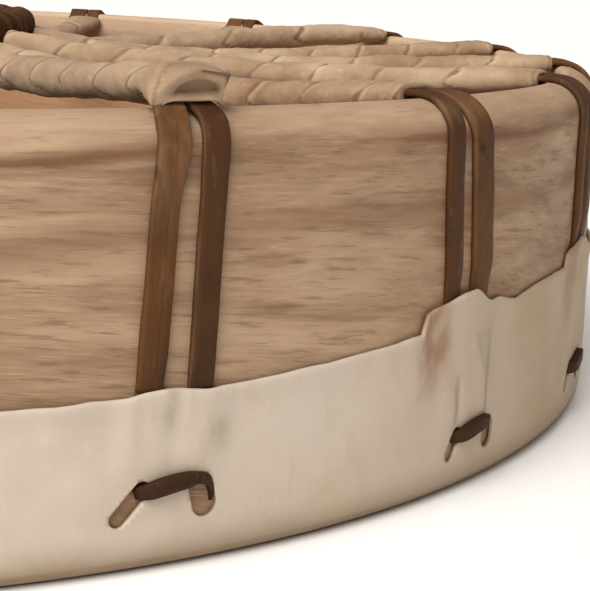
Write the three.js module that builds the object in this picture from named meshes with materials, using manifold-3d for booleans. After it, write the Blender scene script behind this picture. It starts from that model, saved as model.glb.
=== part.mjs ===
// A round frame drum lying on its skin, with the open back up. A bent wooden hoop carries a rawhide
// skin that is folded up round it. Leather laces run from pairs of holes in the skin over the hoop's
// back edge, a hide strip is wound round each pair of laces, and they meet at a bound grip ring.
// Millimetres and degrees, +Z up. The origin is the middle of the playing face, which is underneath.
// Angles are measured from -Y towards +X.
import * as THREE from "three";
import { mergeVertices } from "three/addons/utils/BufferGeometryUtils.js";
import Module from "manifold-3d";

const wasm = await Module();
wasm.setup();
const { degToRad, lerp, clamp } = THREE.MathUtils;

// Driving dimensions of the hoop and the skin
const HOOP_RADIUS = 199;
const HOOP_WALL = 9;
const BACK_HEIGHT = 75.5;
const HOOP_ROUNDING = 3;
const BACK_ROUNDING = 6; // of the back edge on the outside, which the laces bend over
const HOOP_SIDES = 54;
const SKIN_THICKNESS = 1.2;
const SKIN_FOLD_RADIUS = 4.6;
const SKIN_EDGE_HEIGHT = 33.7;
const SKIN_EDGE_WAVE = 3.8;
const SKIN_EDGE_WAVES = 4;
const SKIN_EDGE_PHASE = 5;
const SKIN_LIFT = 2.4; // how far the laces underneath lift the skin off the wood
const LIFT_FOOT = 7; // height at which the skin starts to lift
const LIFT_ABOVE_STITCH = 2.7; // how far above the stitch it is lifted all the way
const LIFT_SPREAD = 2.75; // half the lifted width, in degrees
const LIFT_SLOPE = 1.4;
const PEAK_OFFSET = 0.9; // where the skin's edge peaks, beside each pair of laces
const PEAK_HALF_WIDTH = 4.5;

// Driving dimensions of the laces and their holes
const LACE_PAIRS = 19;
const LACE_WIDTH = 5.2;
const LACE_THICKNESS = 1.8;
const STRAND_OFFSET = 4.6; // from a pair's middle to each strand's middle, on the hoop's side
const STITCH_HEIGHT = 14.5;
const STITCH_LACE = 2.4; // the lace is bunched this thick where it passes through the skin
const HOLE_OFFSET = 5.2;
const HOLE_WIDTH = 3.8;
const HOLE_LENGTH = 8.6;
const LEFT_HOLE_LEAN = -34; // degrees, positive where the lower end is further right

// Driving dimensions of the wound rolls and the grip ring
const ROLL_WIDTH = 7.6;
const ROLL_HEIGHT = 6.8;
const MOUTH_WIDTH = 13.4;
const HOOD_HEIGHT = 7; // of a roll's mouth that covers the hoop's back edge
const MOUTH_HEIGHT = 4.8; // of one that ends before it
const ROLL_UNDER_RING = 3; // how far a roll starts below the middle of the grip ring
const MOUTH_TAPER = 12;
const MOUTH_CLEARANCE = 4; // degrees round the back edge between a roll's mouth and its laces
const ROLL_RINGS = 8;
const ROLL_SIDES = 6;
const WIND_RELIEF = 0.06;
const WIND_SLANT = 2.5;
const RING_RADIUS = 54;
const RING_TUBE = 3.7;
const RING_HEIGHT = BACK_HEIGHT + 4;
const RING_RELIEF = 0.3;
const RING_SIDES = 6;

// Pieces that touch keep this much air between them
const GAP = 0.4;

// Handwork varies from one pair of laces to the next, from -1 for a slack pair to 1 for a tight one
const HANDWORK = [1, -1, -0.35, -0.6, -0.7, -0.4, -0.9, -0.8, 0.7, 0.3];
const ROLL_SAGS = [2.2, 4.9, 3.4, 4.2, 4.4, 0.7, 9, 9, 2.4, 3]; // of each roll, in the same order
const RING_DIPS = [0, 0, 0.5, 1, 2, 4.5, 0, 0, 0, 0]; // further, where a roll hangs slack by the ring
const SAG_AT_EDGE = 6; // a roll that sags further also meets the hoop lower, by the rest
const PAIR_STEP = 360 / LACE_PAIRS;
const hand = (pair) => HANDWORK[pair % HANDWORK.length];
const strapAngle = (pair) => PAIR_STEP * pair + 0.4 + 0.2 * hand(pair);
const edgeAngle = (pair) => PAIR_STEP * pair + 0.6 - 0.55 * hand(pair);
const stitchAngle = (pair) => PAIR_STEP * pair + 0.95 - 1.05 * hand(pair);
const stitchHeight = (pair) => STITCH_HEIGHT + 0.5 * hand(pair);
const rightHoleLean = (pair) => 9 + 25 * hand(pair);
const liftFull = (pair) => stitchHeight(pair) + LIFT_ABOVE_STITCH;
const edgePeak = (pair) => 3 - 2 * hand(pair);
const rollSag = (pair) => ROLL_SAGS[pair % ROLL_SAGS.length];
const ringDip = (pair) => RING_DIPS[pair % RING_DIPS.length];
const mouthRadius = (pair) => 191.4 + 5.3 * hand(pair);

const rimTop = BACK_HEIGHT;
const hoopInside = HOOP_RADIUS - HOOP_WALL;
const skinInside = HOOP_RADIUS + GAP;
const skinOutside = skinInside + SKIN_THICKNESS;
const laceOnWood = GAP + LACE_THICKNESS / 2; // from the wood to the middle of a lace
const rollOnWood = GAP + HOOD_HEIGHT / 2; // from the wood to the middle of a roll's hood
const coversEdge = (pair) => mouthRadius(pair) > hoopInside;
const roundingCentre = HOOP_RADIUS - BACK_ROUNDING;
const roundingFoot = rimTop - BACK_ROUNDING;

const material = (color, roughness) => new THREE.MeshStandardMaterial({ color, roughness, metalness: 0 });
const wood = material(0xb59a7c, 0.7);
const rawhide = material(0xd0c2a6, 0.55);
const leather = material(0x5a4030, 0.5);
const buckskin = material(0xc4ab8a, 0.9);

// A point from its angle, its distance out from the axis, its distance across and its height.
function at(angle, out, across, up) {
  const a = degToRad(angle);
  return new THREE.Vector3(
    out * Math.sin(a) + across * Math.cos(a),
    across * Math.sin(a) - out * Math.cos(a),
    up,
  );
}

// The centre line of a pair of laces leans from the hoop's back edge to the skin's edge, and again from
// there to the stitch.
function laceAngle(pair, height) {
  const above = clamp((height - SKIN_EDGE_HEIGHT) / (rimTop - SKIN_EDGE_HEIGHT), 0, 1);
  const below = clamp((SKIN_EDGE_HEIGHT - height) / (SKIN_EDGE_HEIGHT - stitchHeight(pair)), 0, 1);
  return lerp(lerp(edgeAngle(pair), strapAngle(pair), above), stitchAngle(pair), below);
}

// A closed geometry with its corners merged, its flat triangles dropped and its faces turned out.
function closed(positions, index) {
  const raw = new THREE.BufferGeometry();
  raw.setAttribute("position", new THREE.Float32BufferAttribute(positions, 3));
  raw.setIndex(index);
  const geometry = mergeVertices(raw, 1e-3);
  const kept = [];
  const corner = [new THREE.Vector3(), new THREE.Vector3(), new THREE.Vector3()];
  let volume = 0;
  for (let i = 0; i < geometry.index.count; i += 3) {
    const face = [0, 1, 2].map((n) => geometry.index.getX(i + n));
    if (new Set(face).size < 3) continue;
    face.forEach((vertex, n) => corner[n].fromBufferAttribute(geometry.attributes.position, vertex));
    volume += corner[0].dot(corner[1].clone().cross(corner[2]));
    kept.push(face);
  }
  geometry.setIndex(kept.flatMap((face) => (volume < 0 ? face.reverse() : face)));
  return geometry;
}

// A skin drawn through rings of equal length. An open run of rings is capped at both ends.
function loft(rings, joined = false) {
  const sides = rings[0].length;
  const index = [];
  const spans = joined ? rings.length : rings.length - 1;
  for (let i = 0; i < spans; i += 1) {
    const here = i * sides;
    const next = ((i + 1) % rings.length) * sides;
    for (let j = 0; j < sides; j += 1) {
      const k = (j + 1) % sides;
      index.push(here + j, next + j, next + k, here + j, next + k, here + k);
    }
  }
  if (!joined) {
    const last = (rings.length - 1) * sides;
    for (let j = 1; j < sides - 1; j += 1) {
      index.push(0, j, j + 1, last, last + j + 1, last + j);
    }
  }
  return closed(rings.flat().flatMap((point) => point.toArray()), index);
}

// A geometry as a solid for cutting, and a cut solid as a geometry.
function solidOf(geometry) {
  const bare = new THREE.BufferGeometry();
  bare.setAttribute("position", geometry.getAttribute("position").clone());
  bare.setIndex(geometry.index ? geometry.index.clone() : null);
  const merged = mergeVertices(bare, 1e-3);
  const mesh = new wasm.Mesh({
    numProp: 3,
    vertProperties: merged.attributes.position.array,
    triVerts: new Uint32Array(merged.index.array),
  });
  return new wasm.Manifold(mesh);
}

function geometryOf(solid) {
  const mesh = solid.getMesh();
  return closed(Array.from(mesh.vertProperties), Array.from(mesh.triVerts));
}

// Points on a quarter circle in the plane of radius and height.
function quarter(centreOut, centreUp, radius, from, steps) {
  return Array.from({ length: steps + 1 }, (_, i) => {
    const a = degToRad(from + (90 * i) / steps);
    return new THREE.Vector2(centreOut + radius * Math.cos(a), centreUp + radius * Math.sin(a));
  });
}

// The bent wooden hoop, with its edges rounded by hand, most clearly at the back.
function hoopGeometry() {
  const low = SKIN_THICKNESS + GAP + HOOP_ROUNDING;
  const inner = hoopInside + HOOP_ROUNDING;
  const profile = [
    ...quarter(HOOP_RADIUS - HOOP_ROUNDING, low, HOOP_ROUNDING, -90, 1),
    ...quarter(roundingCentre, roundingFoot, BACK_ROUNDING, 0, 2),
    ...quarter(inner, rimTop - HOOP_ROUNDING, HOOP_ROUNDING, 90, 1),
    ...quarter(inner, low, HOOP_ROUNDING, 180, 1),
  ];
  const turned = new THREE.LatheGeometry([...profile, profile[0]], HOOP_SIDES).rotateX(Math.PI / 2);
  return closed(Array.from(turned.attributes.position.array), Array.from(turned.index.array));
}

// Height of the skin's cut edge: long waves all round, and a peak pulled up at each pair of laces.
function skinEdge(angle, pair, aside) {
  const wave = Math.cos(degToRad(SKIN_EDGE_WAVES * (angle + SKIN_EDGE_PHASE)));
  const peak = Math.max(0, 1 - Math.abs(aside - PEAK_OFFSET) / PEAK_HALF_WIDTH);
  return SKIN_EDGE_HEIGHT - SKIN_EDGE_WAVE * wave + edgePeak(pair) * peak;
}

// One upright section of the skin, from the axis along the playing face, up the outside and back. It leans
// with the laces, and half as much midway between two pairs.
function skinSection(pair, aside, lifted) {
  const follows = Math.abs(aside) < PAIR_STEP / 2 ? 1 : 0.5;
  const angleAt = (up) => aside + lerp(PAIR_STEP * pair, laceAngle(pair, up), follows);
  const lift = lifted ? SKIN_LIFT : 0;
  const edge = skinEdge(PAIR_STEP * pair + aside, pair, aside);
  const face = skinOutside - SKIN_FOLD_RADIUS;
  const outer = [
    new THREE.Vector2(0, 0),
    ...quarter(face, SKIN_FOLD_RADIUS, SKIN_FOLD_RADIUS, -90, 2),
    new THREE.Vector2(skinOutside, LIFT_FOOT),
    new THREE.Vector2(skinOutside + lift, liftFull(pair)),
    new THREE.Vector2(skinOutside + lift, edge),
  ];
  const inner = [
    new THREE.Vector2(skinInside + lift, edge),
    new THREE.Vector2(skinInside + lift, liftFull(pair)),
    new THREE.Vector2(skinInside, LIFT_FOOT),
    ...quarter(face, SKIN_FOLD_RADIUS, SKIN_FOLD_RADIUS - SKIN_THICKNESS, -90, 1).reverse(),
    new THREE.Vector2(0, SKIN_THICKNESS),
  ];
  return [...outer, ...inner].map((p) => at(angleAt(p.y), p.x, 0, p.y));
}

// The holes for one pair of laces, stretched long by their pull, each a prism through the skin.
function holeCutters(pair) {
  const half = HOLE_WIDTH / 2;
  const top = STITCH_LACE / 2 + 2 * GAP;
  const bottom = top - HOLE_LENGTH;
  const outline = new THREE.Shape([
    new THREE.Vector2(-half, top),
    new THREE.Vector2(-half, bottom + half),
    new THREE.Vector2(0, bottom),
    new THREE.Vector2(half, bottom + half),
    new THREE.Vector2(half, top),
  ]);
  const angle = stitchAngle(pair);
  const depth = SKIN_LIFT + 4 * SKIN_THICKNESS;
  return [-1, 1].map((side) => {
    const prism = new THREE.ExtrudeGeometry(outline, { depth, bevelEnabled: false, steps: 1 });
    prism.rotateZ(degToRad(side < 0 ? LEFT_HOLE_LEAN : rightHoleLean(pair)));
    const upward = new THREE.Vector3(0, 0, 1);
    const frame = new THREE.Matrix4().makeBasis(at(angle, 0, 1, 0), upward, at(angle, 1, 0, 0));
    frame.setPosition(at(angle, skinInside - SKIN_THICKNESS, side * HOLE_OFFSET, stitchHeight(pair)));
    return solidOf(prism.applyMatrix4(frame));
  });
}

// The rawhide skin: the playing face and the flap up the hoop, lifted over each pair of laces.
function skinGeometry() {
  const columns = [
    { aside: -PAIR_STEP / 2, lifted: false },
    { aside: -LIFT_SPREAD - LIFT_SLOPE, lifted: false },
    { aside: -LIFT_SPREAD, lifted: true },
    { aside: PEAK_OFFSET, lifted: true },
    { aside: LIFT_SPREAD, lifted: true },
    { aside: LIFT_SPREAD + LIFT_SLOPE, lifted: false },
  ];
  const sections = [];
  for (let pair = 0; pair < LACE_PAIRS; pair += 1) {
    columns.forEach(({ aside, lifted }) => sections.push(skinSection(pair, aside, lifted)));
  }
  let skin = solidOf(loft(sections, true));
  for (let pair = 0; pair < LACE_PAIRS; pair += 1) {
    holeCutters(pair).forEach((cutter) => {
      skin = skin.subtract(cutter);
    });
  }
  return geometryOf(skin);
}

// How far a path that clears the wood by some height has turned over the hoop's rounded back edge.
function rimTurn(out, clear) {
  return Math.asin(clamp((out - roundingCentre) / (BACK_ROUNDING + clear), 0, 1)) / degToRad(1);
}

// Height of a roll's middle: straight from under the grip ring to the hoop, less its sag, then over the
// back edge. The dip by the ring is deepest a quarter of the way out.
function rollHeight(pair, out) {
  const mouth = mouthRadius(pair);
  const share = clamp((out - RING_RADIUS) / (Math.min(mouth, roundingCentre) - RING_RADIUS), 0, 1);
  const lower = Math.max(0, rollSag(pair) - SAG_AT_EDGE);
  const landing = coversEdge(pair) ? rimTop + rollOnWood : rimTop + laceOnWood - 1 - lower;
  const drop = (BACK_ROUNDING + rollOnWood) * (1 - Math.cos(degToRad(rimTurn(out, rollOnWood))));
  const sag = 4 * rollSag(pair) * share * (1 - share) + 9.5 * ringDip(pair) * share * (1 - share) ** 3;
  return lerp(RING_HEIGHT - ROLL_UNDER_RING, landing, share) - sag - drop;
}

// The four corners of a strip's section, from its middle, its half width and its half thickness.
function band(middle, width, thickness) {
  const corners = [[-1, -1], [1, -1], [1, 1], [-1, 1]];
  return corners.map(([w, t]) => middle.clone().addScaledVector(width, w).addScaledVector(thickness, t));
}

// One strand's sections from the roll's mouth, over the hoop's back edge and down to its hole.
// Side is -1 on the left and 1 on the right, where the lace runs the other way and so turns over.
function strandSections(pair, side) {
  const across = (up) => at(laceAngle(pair, up), 0, 1, 0);
  const outward = (up) => at(laceAngle(pair, up), 1, 0, 0);
  const upward = new THREE.Vector3(0, 0, 1);
  const section = (out, offset, up, width, thickness, tilt) => {
    const a = degToRad(tilt);
    const normal = outward(up).multiplyScalar(Math.sin(a)).addScaledVector(upward, Math.cos(a));
    const middle = at(laceAngle(pair, up), out, side * offset, up);
    return band(middle, across(up).multiplyScalar((-side * width) / 2), normal.multiplyScalar(thickness / 2));
  };
  const close = LACE_WIDTH / 2 + GAP / 2;
  const apart = STRAND_OFFSET - 0.4;
  const mouth = mouthRadius(pair);
  const covered = coversEdge(pair);
  const bend = BACK_ROUNDING + laceOnWood;
  const face = HOOP_RADIUS + laceOnWood;
  const stitch = stitchHeight(pair);
  const sections = [];
  if (!covered) {
    sections.push(section(mouth + GAP, close, rollHeight(pair, mouth), LACE_WIDTH, LACE_THICKNESS, 0));
  }
  const start = covered ? rimTurn(mouth, rollOnWood) + MOUTH_CLEARANCE : 0;
  const turns = [start, 45, 90].filter((turn) => turn === start || turn > start + MOUTH_CLEARANCE);
  turns.forEach((turn) => {
    const out = roundingCentre + bend * Math.sin(degToRad(turn));
    const up = roundingFoot + bend * Math.cos(degToRad(turn));
    sections.push(section(out, lerp(close, apart, turn / 90), up, LACE_WIDTH, LACE_THICKNESS, turn));
  });
  sections.push(section(face, STRAND_OFFSET, SKIN_EDGE_HEIGHT, LACE_WIDTH, LACE_THICKNESS, 90));
  sections.push(section(face, HOLE_OFFSET - 0.4, liftFull(pair) + 3, STITCH_LACE + 1, LACE_THICKNESS, 90));
  const mitre = Math.hypot(LACE_THICKNESS, STITCH_LACE);
  const mitreTilt = Math.atan2(LACE_THICKNESS, STITCH_LACE) / degToRad(1);
  sections.push(section(face, HOLE_OFFSET, stitch, STITCH_LACE, mitre, mitreTilt));
  return sections;
}

// The lace's turns through the skin and the stitch across it, outside.
function stitchSections(pair) {
  const angle = stitchAngle(pair);
  const up = stitchHeight(pair);
  const outward = at(angle, 1, 0, 0);
  const across = at(angle, 0, 1, 0);
  const half = STITCH_LACE / 2;
  const tall = new THREE.Vector3(0, 0, half);
  const out = skinOutside + SKIN_LIFT + GAP + half;
  const middle = (offset) => at(angle, out, offset, up);
  const turn = (side) => across.clone().multiplyScalar(half).addScaledVector(outward, side * half);
  return [
    band(middle(-HOLE_OFFSET), turn(-1), tall),
    band(middle(0), outward.clone().multiplyScalar(-half), tall),
    band(middle(HOLE_OFFSET), turn(1).negate(), tall),
  ];
}

// One lace: down one strand, out through the skin, across the stitch and up the other strand.
function laceGeometry(pair) {
  return loft([
    ...strandSections(pair, -1),
    ...stitchSections(pair),
    ...strandSections(pair, 1).reverse(),
  ]);
}

// One roll: a hide strip wound round a pair of laces, wide at its mouth and rounder towards the ring.
// A tight pair's roll covers the hoop's back edge and ends like a hood over the laces.
function rollGeometry(pair) {
  const mouth = mouthRadius(pair);
  const inner = RING_RADIUS + RING_TUBE + RING_RELIEF + GAP;
  const angle = strapAngle(pair);
  const hood = [mouth, roundingCentre - 1, hoopInside - 3];
  const head = hood.filter((out, i) => i === 0 || (coversEdge(pair) && out < mouth - 2));
  const last = head[head.length - 1];
  const rest = ROLL_RINGS - head.length;
  const outs = [...head, ...Array.from({ length: rest }, (_, i) => lerp(last, inner, (i + 1) / rest))];
  const rings = outs.map((out, i) => {
    const open = Math.exp((out - mouth) / MOUTH_TAPER);
    const relief = 1 + (i % 2 === 0 ? WIND_RELIEF : -WIND_RELIEF);
    const width = lerp(ROLL_WIDTH, MOUTH_WIDTH, open) * relief;
    const height = lerp(ROLL_HEIGHT, coversEdge(pair) ? HOOD_HEIGHT : MOUTH_HEIGHT, open) * relief;
    const slant = i < head.length || i === outs.length - 1 ? 0 : WIND_SLANT;
    const turn = degToRad(rimTurn(out, rollOnWood));
    return Array.from({ length: ROLL_SIDES }, (_point, j) => {
      const a = degToRad((360 * (j + 0.5)) / ROLL_SIDES);
      const tall = (height / 2) * Math.sin(a);
      const along = out + slant * Math.sin(a) + tall * Math.sin(turn);
      const lowest = turn === 0 && along > hoopInside - 2 ? rimTop + GAP : 0;
      const up = Math.max(lowest, rollHeight(pair, out) + tall * Math.cos(turn));
      return at(angle, along, (width / 2) * Math.cos(a), up);
    });
  });
  return loft(rings);
}

// The grip ring, bound in lace that swells it where each pair of laces comes in.
function ringGeometry() {
  const sections = Array.from({ length: 2 * LACE_PAIRS }, (_, i) => {
    const tube = RING_TUBE + (i % 2 === 0 ? RING_RELIEF : -RING_RELIEF);
    return Array.from({ length: RING_SIDES }, (_point, j) => {
      const a = degToRad((360 * j) / RING_SIDES);
      const out = RING_RADIUS + tube * Math.cos(a);
      return at((PAIR_STEP * i) / 2, out, 0, RING_HEIGHT + tube * Math.sin(a));
    });
  });
  return loft(sections, true);
}

function piece(name, geometry, finish) {
  const mesh = new THREE.Mesh(geometry, finish);
  mesh.name = name;
  return mesh;
}

const drum = new THREE.Group();
drum.add(piece("wooden_hoop", hoopGeometry(), wood));
drum.add(piece("drum_skin", skinGeometry(), rawhide));
drum.add(piece("grip_ring", ringGeometry(), leather));
for (let pair = 0; pair < LACE_PAIRS; pair += 1) {
  const number = String(pair + 1).padStart(2, "0");
  drum.add(piece(`lace_${number}`, laceGeometry(pair), leather));
  drum.add(piece(`wound_roll_${number}`, rollGeometry(pair), buckskin));
}

export default drum;
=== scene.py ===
"""A laced frame drum lying on its skin: its fine forms, materials, light and camera."""
import math

import bmesh
import bpy
import numpy as np
from mathutils import Matrix, Vector


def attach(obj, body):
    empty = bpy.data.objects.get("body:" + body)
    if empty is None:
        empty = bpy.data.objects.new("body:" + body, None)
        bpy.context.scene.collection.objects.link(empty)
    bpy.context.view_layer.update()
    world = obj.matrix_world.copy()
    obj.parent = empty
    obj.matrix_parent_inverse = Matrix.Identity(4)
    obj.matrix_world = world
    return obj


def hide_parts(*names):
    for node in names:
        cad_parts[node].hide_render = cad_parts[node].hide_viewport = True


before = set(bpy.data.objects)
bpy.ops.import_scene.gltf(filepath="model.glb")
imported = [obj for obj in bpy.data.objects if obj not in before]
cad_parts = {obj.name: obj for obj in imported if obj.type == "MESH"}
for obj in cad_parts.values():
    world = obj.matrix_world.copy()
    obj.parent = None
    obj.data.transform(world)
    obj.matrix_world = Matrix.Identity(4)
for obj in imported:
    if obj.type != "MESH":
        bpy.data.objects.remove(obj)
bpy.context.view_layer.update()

# Sizes of the drum, in millimetres and degrees. Angles run from -Y towards +X.
MM = 0.001
HOOP_RADIUS = 199.0
HOOP_WALL = 9.0
HOOP_INSIDE = HOOP_RADIUS - HOOP_WALL
BACK_HEIGHT = 75.5
HOOP_ROUNDING = 3.0
HOOP_FOOT = 1.6
INNER_ROUNDING = 2.0
BACK_ROUNDING = 7.0
ROUNDING_CENTRE = HOOP_RADIUS - BACK_ROUNDING
ROUNDING_FOOT = BACK_HEIGHT - BACK_ROUNDING
SKIN_THICKNESS = 0.6
SKIN_OUTSIDE = 200.0
SKIN_FOLD = 4.6
SKIN_EDGE_HEIGHT = 33.7
SKIN_LIFT = 0.55
SKIN_LIP = 0.5
LACE_PAIRS = 19
PAIR_STEP = 360 / LACE_PAIRS
LACE_THICKNESS = 1.25
LACE_UNDER_SKIN = 0.7
LACE_OFF_WOOD = 0.1
FOLD_HEIGHT = 66.8
STITCH_OUT = 200.8
STITCH_HALF = 6.0
STITCH_WIDTH = 2.9
STITCH_THICKNESS = 1.5
HOLE_SIDES = 32
RING_RADIUS = 54.0
RING_TUBE = 3.7
RING_HEIGHT = BACK_HEIGHT + 4
ROLL_WIDTH = 7.6
ROLL_HEIGHT = 6.8
MOUTH_WIDTH = 13.4
MOUTH_HEIGHT = 4.6
MOUTH_TAPER = 12.0
ROLL_ON_WOOD = 3.9
ROLL_UNDER_RING = 3.0
ROLL_SIDES = 36
HANDWORK = (1, -1, -0.35, -0.6, -0.7, -0.4, -0.9, -0.8, 0.7, 0.3)
ROLL_SAGS = (2.2, 4.9, 3.4, 4.2, 4.4, 0.7, 9.0, 9.0, 2.4, 3.0)
RING_DIPS = (0.0, 0.0, 0.5, 1.0, 2.0, 4.5, 0.0, 0.0, 0.0, 0.0)
SAG_AT_EDGE = 6.0
# Makes a ring dip the depth at its deepest place
DIP_PEAK = 9.5
WORN_PAIRS = range(3, 9)
TURN_PITCHES = (13.2, 14.0, 16.0, 17.0, 15.0, 25.5, 18.0, 16.0, 15.0, 17.0)
TURN_STARTS = (0.70, 0.78, 0.30, 0.50, 0.90, 0.23, 0.10, 0.60, 0.40, 0.20)
# Outline of a roll's mouth over the hoop's edge: degrees round it, distance across and height off the wood
HOOD_OUTLINE = np.array([
    (-90, 1.0, 2.5), (-60, 4.0, 2.5), (-42, 5.9, 2.2), (-30, 6.7, 1.3), (-15, 6.6, 2.8), (0, 6.4, 4.0),
    (15, 6.8, 5.6), (30, 7.0, 7.0), (50, 5.2, 7.4), (70, 3.0, 7.7), (90, 0.8, 8.1), (110, -1.2, 8.0),
    (130, -3.0, 7.0), (150, -4.5, 5.6), (170, -5.5, 4.2), (185, -5.9, 3.0), (200, -5.9, 1.8),
    (212, -5.6, 1.0), (224, -4.6, 2.2), (240, -2.6, 2.5), (270, 1.0, 2.5),
])


def hand(pair):
    """How the handwork varies, from -1 for a slack pair of laces to 1 for a tight one."""
    return HANDWORK[pair % len(HANDWORK)]


def slackness(pair):
    """From 0 for a tight pair to 1 for a slack one."""
    return 0.5 - 0.5 * hand(pair)


def strap_angle(pair):
    """Where the middle of a pair crosses the hoop's back edge."""
    return PAIR_STEP * pair + 0.4 + 0.3 * hand(pair)


def edge_angle(pair):
    """Where the middle of a pair passes under the skin's edge."""
    return PAIR_STEP * pair + 0.6 - 0.55 * hand(pair)


def stitch_angle(pair):
    return PAIR_STEP * pair + 1.12 - 1.32 * hand(pair)


def stitch_height(pair):
    return 13.7 + 1.35 * hand(pair)


def mouth_radius(pair):
    """Distance out to a roll's mouth. A slack pair's roll ends just inside the hoop."""
    out = 191.4 + 5.3 * hand(pair)
    return out if hand(pair) > 0 else min(out - 2.6 * hand(pair), HOOP_INSIDE - 0.6)


def covers_edge(pair):
    """Whether a pair's roll reaches over the hoop's back edge."""
    return mouth_radius(pair) > HOOP_INSIDE


def lace_angle(pair, up):
    """The middle of a pair, which leans from the back edge to the skin's edge and on to the stitch."""
    low = stitch_height(pair)
    above = np.clip((up - SKIN_EDGE_HEIGHT) / (BACK_HEIGHT - SKIN_EDGE_HEIGHT), 0, 1)
    below = np.clip((SKIN_EDGE_HEIGHT - up) / (SKIN_EDGE_HEIGHT - low), 0, 1)
    upper = edge_angle(pair) + above * (strap_angle(pair) - edge_angle(pair))
    return upper + below * (stitch_angle(pair) - upper)


def smooth(low, high, value):
    """A share that goes smoothly from 0 at low to 1 at high. Low may be the larger."""
    share = np.clip((value - low) / (high - low), 0, 1)
    return share * share * (3 - 2 * share)


def bell(value, middle, spread):
    return np.exp(-(((value - middle) / spread) ** 2))


def turn_from(middle, angle):
    """Degrees from one angle to another the shorter way, from -180 to 180."""
    return (angle - middle + 180) % 360 - 180


def noise(points, seed):
    """Smooth noise from -1 to 1 at points given in noise cells."""
    points = np.asarray(points, dtype=float)
    cell = np.floor(points).astype(np.int64)
    part = points - cell
    part = part * part * (3 - 2 * part)
    total = np.zeros(len(points))
    for corner in range(8):
        step = np.array([corner & 1, corner >> 1 & 1, corner >> 2 & 1])
        weight = np.prod(np.where(step == 1, part, 1 - part), axis=1)
        key = (cell + step) @ np.array([73856093, 19349663, 83492791]) + seed * 7919
        key = (key ^ (key >> 13)) * 1274126177
        total += weight * ((key >> 8 & 0xFFFF) / 32767.5 - 1)
    return total


def noise_grid(a, b, c, seed):
    """Noise at every point of broadcast arrays."""
    a, b, c = np.broadcast_arrays(a, b, c)
    return noise(np.stack([a, b, c], axis=-1).reshape(-1, 3), seed).reshape(a.shape)


def round_noise(angle, up, cells, tall, seed):
    """Noise round the drum, with a whole number of cells to the turn, so that it has no seam."""
    a = np.radians(angle)
    reach = cells / (2 * math.pi)
    return noise_grid(reach * np.cos(a), reach * np.sin(a), np.asarray(up, dtype=float) / tall, seed)


def place(angle, out, up):
    """Points at an angle round the drum, a distance out and a height."""
    a = np.radians(angle)
    return np.stack(np.broadcast_arrays(out * np.sin(a), -out * np.cos(a), up), axis=-1)


def grid_faces(rows, columns, round_rows, round_columns):
    """Faces of a grid of points, joined to itself along the rows, the columns or both."""
    r = np.arange(rows if round_rows else rows - 1)
    c = np.arange(columns if round_columns else columns - 1)
    r, c = np.meshgrid(r, c, indexing="ij")
    r_next = (r + 1) % rows
    c_next = (c + 1) % columns
    corners = [r * columns + c, r * columns + c_next, r_next * columns + c_next, r_next * columns + c]
    return np.stack(corners, axis=-1).reshape(-1, 4).tolist()


def capped_faces(rows, columns):
    """Faces of a tube of rings, closed at both ends."""
    faces = grid_faces(rows, columns, False, True)
    faces.append(list(range(columns)))
    faces.append([(rows - 1) * columns + j for j in reversed(range(columns))])
    return faces


def new_mesh(name, points, faces):
    """A mesh from points in millimetres."""
    mesh = bpy.data.meshes.new(name)
    mesh.from_pydata((np.asarray(points).reshape(-1, 3) * MM).tolist(), [], faces)
    return mesh


def add_object(name, data):
    thing = bpy.data.objects.new(name, data)
    bpy.context.scene.collection.objects.link(thing)
    return thing


def face_outwards(mesh, join_axis=False):
    """Turns all faces outwards, and may first join each ring of points at the axis into one point."""
    work = bmesh.new()
    work.from_mesh(mesh)
    if join_axis:
        middle = [v for v in work.verts if v.co.x ** 2 + v.co.y ** 2 < 1e-9]
        bmesh.ops.remove_doubles(work, verts=middle, dist=1e-5)
    bmesh.ops.recalc_face_normals(work, faces=work.faces)
    work.to_mesh(mesh)
    work.free()


def make_piece(name, points, faces, material, nodes):
    """A smooth mesh piece that stands for some nodes of the solid model. Points are in millimetres."""
    mesh = new_mesh(name, points, faces)
    face_outwards(mesh)
    mesh.shade_smooth()
    mesh.materials.append(material)
    thing = add_object(name, mesh)
    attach(thing, "root")
    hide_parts(*nodes)
    return thing


def vertex_values(thing, name, values):
    layer = thing.data.attributes.new(name, "FLOAT", "POINT")
    layer.data.foreach_set("value", np.asarray(values, dtype=np.float32).ravel())


def vertex_places(thing):
    flat = np.zeros(len(thing.data.vertices) * 3, dtype=np.float32)
    thing.data.vertices.foreach_get("co", flat)
    return flat.reshape(-1, 3) / MM


# Materials, all from nodes in the drum's own coordinates


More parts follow.
